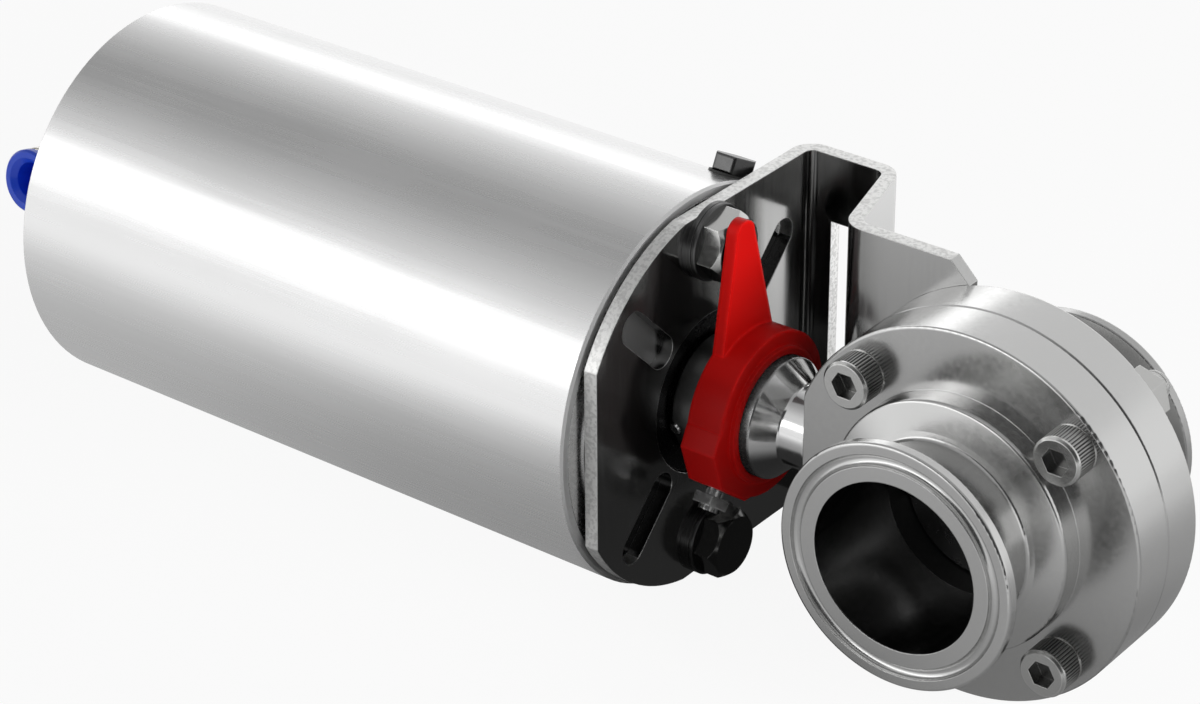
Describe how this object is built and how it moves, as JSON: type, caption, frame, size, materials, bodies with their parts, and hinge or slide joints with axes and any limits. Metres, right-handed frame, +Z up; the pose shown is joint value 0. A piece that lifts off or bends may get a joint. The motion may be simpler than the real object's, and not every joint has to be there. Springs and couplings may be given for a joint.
{
  "type": "pneumatic butterfly valve",
  "caption": "Hygienic butterfly valve with clamp ferrules, turned by a spring-return cylinder actuator on a folded bracket, with a position pointer.",
  "frame": {"origin": "centre of the front ferrule's face", "axes": "+Y along the pipeline to the rear ferrule, +X along the stem away from the actuator, +Z up"},
  "size_m": [0.2809, 0.0846, 0.0851],
  "materials": {
    "turned_steel": "fine turned, near mirror",
    "disc_steel": "polished",
    "screw_steel": "plain stainless",
    "bolt_steel": "plain stainless",
    "pin_steel": "ground",
    "coupling_steel": "turned and polished",
    "sheet_steel": "bright rolled sheet",
    "tube_steel": "satin, finely brushed",
    "cap_steel": "fine turned",
    "spring_steel": "drawn wire",
    "piston_aluminium": "machined",
    "bronze": "sintered",
    "nickel_brass": "nickel plated",
    "bush_plastic": "plain",
    "red_plastic": "moulded",
    "blue_plastic": "moulded",
    "seat_rubber": "moulded",
    "seal_rubber": "moulded"
  },
  "bodies": {
    "valve": {"front_body_half": "turned_steel", "rear_body_half": "turned_steel", "seat": "seat_rubber", "upper_stem_bush": "bush_plastic", "lower_stem_bush": "bush_plastic", "body_screws": "screw_steel", "body_nuts": "screw_steel", "mounting_bracket": "sheet_steel", "bracket_bolts": "bolt_steel", "bracket_washers": "bolt_steel", "head_washers": "bolt_steel", "actuator_tube": "tube_steel", "front_cap": "cap_steel", "rear_cap": "cap_steel", "rear_retaining_ring": "spring_steel", "front_cap_seal": "seal_rubber", "rear_cap_seal": "seal_rubber", "output_shaft_seal": "seal_rubber", "output_bush": "bronze", "thrust_washer": "bronze", "guide_sleeve": "cap_steel", "guide_screws": "screw_steel", "return_spring": "spring_steel", "vent_washer": "seal_rubber", "vent_plug": "bolt_steel", "fitting_seal": "seal_rubber", "fitting_stud": "nickel_brass"},
    "piston": {"piston": "piston_aluminium", "piston_seal": "seal_rubber", "piston_wear_ring": "bush_plastic", "cam_pin": "pin_steel"},
    "stem": {"disc_and_stem": "disc_steel", "coupling": "coupling_steel", "coupling_pin": "pin_steel", "position_indicator": "red_plastic", "indicator_screw": "screw_steel", "indicator_nut": "screw_steel", "cam_shaft": "pin_steel"},
    "fitting": {"fitting_elbow": "nickel_brass", "tube_seal": "seal_rubber", "grab_ring": "spring_steel"},
    "collar": {"release_collar": "blue_plastic"}
  },
  "joints": [
    {"name": "piston_slide", "type": "slide", "parent": "valve", "child": "piston", "axis": [1, 0, 0], "range_m": [0, 0.036], "stiffness_N_per_m": 2300, "springref_m": -0.02, "deforming": ["return_spring"]},
    {"name": "stem_turn", "type": "hinge", "parent": "valve", "child": "stem", "pos_m": [-0.05, 0.033, 0], "axis": [-1, 0, 0], "range_deg": [0, 90]},
    {"name": "fitting_swivel", "type": "hinge", "parent": "valve", "child": "fitting", "pos_m": [-0.235, 0.033, 0], "axis": [1, 0, 0], "continuous": true},
    {"name": "collar_push", "type": "slide", "parent": "fitting", "child": "collar", "axis": [0, 0.9755, -0.2198], "range_m": [0, 0.001], "stiffness_N_per_m": 500}
  ],
  "couplings": [
    {"joint": "stem_turn", "follows": "piston_slide", "rad_per_m": 43.63}
  ]
}
